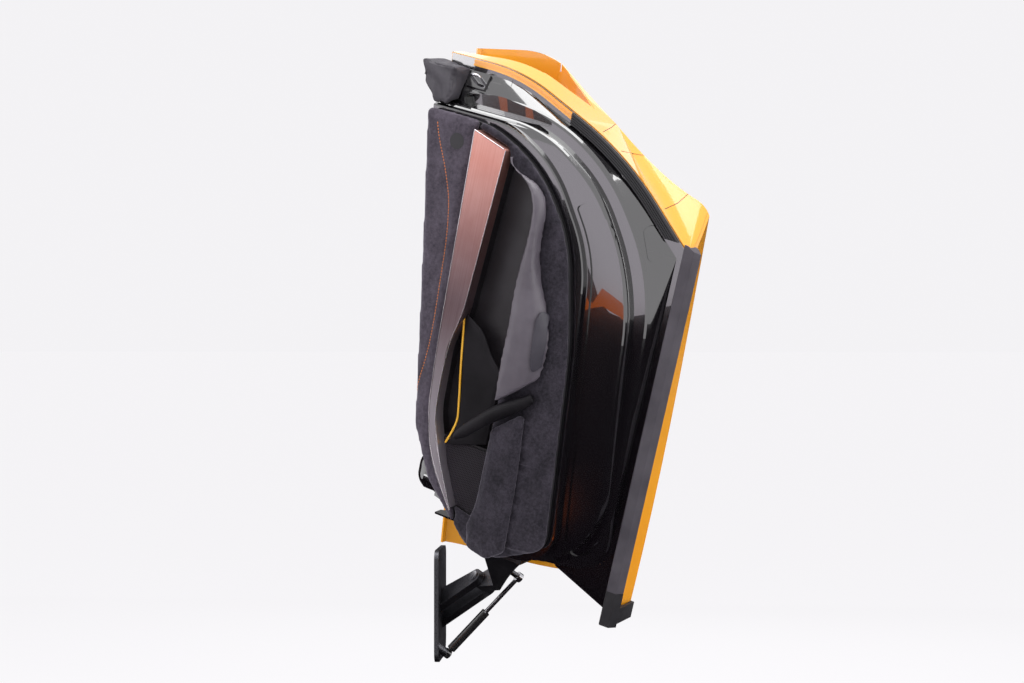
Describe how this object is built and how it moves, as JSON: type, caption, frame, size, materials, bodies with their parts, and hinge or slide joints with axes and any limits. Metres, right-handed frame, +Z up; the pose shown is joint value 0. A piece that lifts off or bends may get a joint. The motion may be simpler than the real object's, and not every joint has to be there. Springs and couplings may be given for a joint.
{
  "type": "upward-opening car door",
  "caption": "Right-hand upward-opening car door, stored open on its hinge bracket, with gas strut, terraced black frame, suede trim, armrest, door pocket, pull handle and folding mirror.",
  "frame": {"origin": "middle of the hinge bracket's bolted face, on the side of the cabin tub", "axes": "+X is outboard, +Y is forward and +Z is up, in the car's own directions; the bracket's bolted face looks along -X, and the door stands open above it"},
  "size_m": [0.6742, 0.713, 1.3737],
  "materials": {
    "paint": "gloss, clear-coated composite",
    "gloss_black": "gloss, clear-coated composite",
    "suede": "napped, stitched",
    "hide": "satin, fine grain",
    "strip": "satin, anodised, bevelled edges",
    "seal": "matt",
    "sill_grey": "matt, fine-grained",
    "dark_plastic": "matt, grained",
    "mesh": "dark, perforated",
    "glazing": "tinted",
    "reflector": "polished",
    "steel": "bright",
    "cast_alloy": "dark satin",
    "strut_black": "satin"
  },
  "bodies": {
    "bracket": {"hinge_bracket": "cast_alloy", "hinge_pin": "steel"},
    "door": {"hinge_arm": "cast_alloy", "door_frame": "gloss_black", "lower_skin": "paint", "wing_panel": "paint", "channel_wall": "paint", "rear_return": "paint", "front_end_panel": "gloss_black", "duct_liner": "dark_plastic", "front_lower_panel": "gloss_black", "sill_rubber": "sill_grey", "sill_rear_cap": "sill_grey", "sill_front_cap": "seal", "door_seal": "seal", "belt_seal_inner": "seal", "belt_seal_outer": "seal", "belt_corner_seal": "seal", "rear_hem": "paint", "window_glass": "glazing", "latch_plate": "gloss_black", "latch_loop": "steel", "trim_carrier": "dark_plastic", "upper_card": "suede", "lower_card": "suede", "metal_strip": "strip", "armrest": "hide", "front_bolster": "suede", "pull_handle": "hide", "pocket_liner": "hide", "pocket_flap": "hide", "speaker_grille": "mesh", "inset_pad": "hide", "round_disc": "dark_plastic", "mirror_arm": "gloss_black"},
    "strut_cylinder": {"strut_cylinder": "strut_black"},
    "strut_rod": {"strut_rod": "steel"},
    "mirror": {"mirror_shell": "gloss_black", "mirror_glass": "reflector"}
  },
  "joints": [
    {"name": "door_hinge", "type": "hinge", "parent": "bracket", "child": "door", "pos_m": [0.11, -0.06, 0], "axis": [-0.6621, -0.4989, 0.5592], "range_deg": [-92, 0]},
    {"name": "strut_pivot", "type": "hinge", "parent": "bracket", "child": "strut_cylinder", "pos_m": [0.0265, -0.04571, -0.1648], "axis": [-0.6621, -0.4989, 0.5592], "range_deg": [-14.6, 0]},
    {"name": "strut_slide", "type": "slide", "parent": "strut_cylinder", "child": "strut_rod", "axis": [0.6785, -0.0823, 0.7299], "range_m": [-0.0888, 0]},
    {"name": "mirror_fold", "type": "hinge", "parent": "door", "child": "mirror", "pos_m": [0.00209, 0.00395, 0.22165], "axis": [-0.8818, 0.373, 0.2887], "range_deg": [-60, 0]}
  ],
  "couplings": [
    {"joint": "strut_pivot", "follows": "door_hinge", "ratio": 0.15537},
    {"joint": "strut_slide", "follows": "door_hinge", "m_per_rad": 0.05504}
  ]
}
